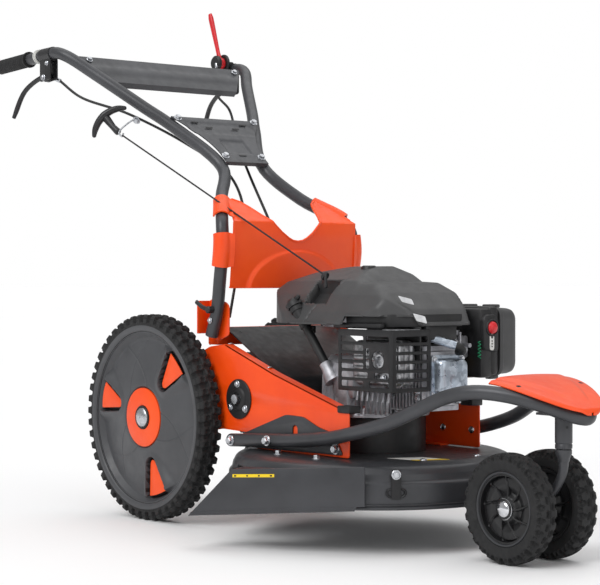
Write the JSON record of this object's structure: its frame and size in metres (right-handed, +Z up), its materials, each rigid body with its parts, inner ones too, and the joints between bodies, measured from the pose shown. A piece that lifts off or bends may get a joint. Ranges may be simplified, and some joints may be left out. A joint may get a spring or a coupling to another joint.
{
  "type": "walk-behind rough-cut lawn mower",
  "caption": "Walk-behind petrol mower with large driven rear wheels, a twin swivelling front caster, a round side-discharge deck and a cranked tube handle.",
  "frame": {"origin": "on the ground under the middle of the machine's box", "axes": "+X forward, the way the mower travels; +Y the machine's left; +Z up"},
  "size_m": [1.508, 0.6458, 1.0862],
  "materials": {
    "orange_paint": "semi-gloss orange powder coat",
    "graphite_paint": "satin graphite powder coat with a fine texture",
    "deck_grey": "satin dark grey powder coat",
    "black_steel": "black baked enamel on pressed steel",
    "blade_steel": "hardened steel, dull",
    "die_cast": "as die-cast, slightly rough",
    "zinc_sheet": "zinc-plated pressed steel",
    "muffler_steel": "aluminised steel",
    "bright_zinc": "bright zinc plate",
    "black_plastic": "black moulded plastic with a fine grain",
    "lever_plastic": "smooth black plastic",
    "rim_plastic": "black moulded nylon",
    "wheel_grey": "grey moulded plastic",
    "orange_plastic": "satin orange moulded plastic",
    "red_plastic": "red moulded plastic",
    "tyre_rubber": "matt black tyre rubber",
    "grip_rubber": "soft black rubber",
    "belt_rubber": "rubber V-belt",
    "cord": "braided nylon cord",
    "cable_sleeve": "black plastic cable sleeve"
  },
  "bodies": {
    "chassis": {"deck_pan": "deck_grey", "discharge_panel": "deck_grey", "engine_pedestal": "black_steel", "crankcase": "die_cast", "rocker_cover": "zinc_sheet", "muffler": "muffler_steel", "muffler_guard": "black_steel", "blower_cover": "black_plastic", "oil_filler": "black_plastic", "carburettor": "die_cast", "air_filter_base": "black_plastic", "air_filter_cover": "black_plastic", "fuel_tank": "black_plastic", "spark_plug_boot": "bright_zinc", "drive_belt": "belt_rubber", "gearbox": "die_cast", "drive_chain": "bright_zinc", "side_plate_right": "orange_paint", "side_plate_left": "orange_paint", "frame_bracket_right": "graphite_paint", "frame_bracket_left": "graphite_paint", "bearing_flange_right": "black_steel", "bearing_flange_left": "black_steel", "rear_cross_member": "orange_paint", "rear_cover": "black_steel", "front_frame": "graphite_paint", "nose_cover": "orange_paint"},
    "handle": {"handle_tube_right": "graphite_paint", "handle_tube_left": "graphite_paint", "grip_right": "grip_rubber", "grip_left": "grip_rubber", "cross_beam": "graphite_paint", "cross_plate": "graphite_paint", "handle_guard": "orange_plastic", "starter_rope": "cord", "drive_cable": "cable_sleeve", "throttle_cable": "cable_sleeve"},
    "crank": {"crankshaft": "bright_zinc", "flywheel": "die_cast", "blade": "blade_steel"},
    "gearbox_input": {"gearbox_pulley": "bright_zinc"},
    "cross_drive": {"cross_shaft": "bright_zinc"},
    "axle": {"rear_axle": "bright_zinc"},
    "rear_wheel_right": {"rear_tyre_right": "tyre_rubber", "rear_disc_right": "wheel_grey"},
    "rear_wheel_left": {"rear_tyre_left": "tyre_rubber", "rear_disc_left": "wheel_grey"},
    "caster": {"caster_fork": "graphite_paint"},
    "front_wheel_right": {"front_tyre_right": "tyre_rubber", "front_rim_right": "rim_plastic"},
    "front_wheel_left": {"front_tyre_left": "tyre_rubber", "front_rim_left": "rim_plastic"},
    "primer": {"primer_button": "red_plastic"},
    "oil_plug": {"oil_cap": "black_plastic"},
    "fuel_plug": {"fuel_cap": "black_plastic"},
    "hand_lever_right": {"hand_lever_right": "lever_plastic"},
    "hand_lever_left": {"hand_lever_left": "lever_plastic"},
    "throttle": {"throttle_lever": "red_plastic"},
    "clamp": {"clamp_lever": "lever_plastic"},
    "starter": {"starter_grip": "lever_plastic"}
  },
  "joints": [
    {"name": "handle_height", "type": "hinge", "parent": "chassis", "child": "handle", "pos_m": [-0.05531, 0.04994, 0.421], "axis": [0, 1, 0], "range_deg": [-8, 8], "deforming": ["starter_rope", "drive_cable", "throttle_cable"]},
    {"name": "crank_spin", "type": "hinge", "parent": "chassis", "child": "crank", "pos_m": [0.21169, 0.04994, 0.187], "axis": [0, 0, 1], "continuous": true},
    {"name": "gearbox_input_spin", "type": "hinge", "parent": "chassis", "child": "gearbox_input", "pos_m": [0.01269, 0.04994, 0.187], "axis": [0, 0, 1], "continuous": true},
    {"name": "cross_drive_spin", "type": "hinge", "parent": "chassis", "child": "cross_drive", "pos_m": [0.01269, 0.04994, 0.252], "axis": [0, 1, 0], "continuous": true},
    {"name": "axle_spin", "type": "hinge", "parent": "chassis", "child": "axle", "pos_m": [-0.23331, 0.04994, 0.205], "axis": [0, 1, 0], "continuous": true},
    {"name": "rear_wheel_right_spin", "type": "hinge", "parent": "chassis", "child": "rear_wheel_right", "pos_m": [-0.23331, -0.14406, 0.205], "axis": [0, 1, 0], "continuous": true},
    {"name": "rear_wheel_left_spin", "type": "hinge", "parent": "chassis", "child": "rear_wheel_left", "pos_m": [-0.23331, 0.24394, 0.205], "axis": [0, 1, 0], "continuous": true},
    {"name": "caster_swivel", "type": "hinge", "parent": "chassis", "child": "caster", "pos_m": [0.69169, 0.04994, 0.22], "axis": [0, 0, 1], "continuous": true},
    {"name": "front_wheel_right_spin", "type": "hinge", "parent": "caster", "child": "front_wheel_right", "pos_m": [0.61569, -0.00006, 0.0945], "axis": [0, 1, 0], "continuous": true},
    {"name": "front_wheel_left_spin", "type": "hinge", "parent": "caster", "child": "front_wheel_left", "pos_m": [0.61569, 0.09994, 0.0945], "axis": [0, 1, 0], "continuous": true},
    {"name": "primer_press", "type": "slide", "parent": "chassis", "child": "primer", "axis": [-1, 0, 0], "range_m": [0, 0.006], "stiffness_N_per_m": 400},
    {"name": "oil_cap_turn", "type": "hinge", "parent": "chassis", "child": "oil_plug", "pos_m": [0.13269, -0.07206, 0.428], "axis": [-0.5442, -0.1225, 0.83], "range_deg": [0, 90]},
    {"name": "fuel_cap_turn", "type": "hinge", "parent": "chassis", "child": "fuel_plug", "pos_m": [0.15169, 0.17694, 0.44], "axis": [0, 0, 1], "range_deg": [0, 90]},
    {"name": "hand_lever_right_squeeze", "type": "hinge", "parent": "handle", "child": "hand_lever_right", "pos_m": [-0.55531, -0.19006, 0.905], "axis": [0, 1, 0], "range_deg": [0, 30], "stiffness_Nm_per_rad": 4},
    {"name": "hand_lever_left_squeeze", "type": "hinge", "parent": "handle", "child": "hand_lever_left", "pos_m": [-0.55531, 0.28994, 0.905], "axis": [0, 1, 0], "range_deg": [0, 30], "stiffness_Nm_per_rad": 4},
    {"name": "throttle_set", "type": "hinge", "parent": "handle", "child": "throttle", "pos_m": [-0.55131, 0.26194, 0.968], "axis": [0, 1, 0], "range_deg": [0, 50]},
    {"name": "clamp_release", "type": "hinge", "parent": "chassis", "child": "clamp", "pos_m": [-0.05531, -0.13406, 0.421], "axis": [0, 1, 0], "range_deg": [0, 90]},
    {"name": "starter_pull", "type": "slide", "parent": "handle", "child": "starter", "axis": [-0.9299, 0.27, 0.25], "range_m": [0, 0.4], "stiffness_N_per_m": 12, "springref_m": -0.3}
  ],
  "couplings": [
    {"joint": "gearbox_input_spin", "follows": "crank_spin", "ratio": 0.54546},
    {"joint": "cross_drive_spin", "follows": "axle_spin", "ratio": 2.5}
  ]
}
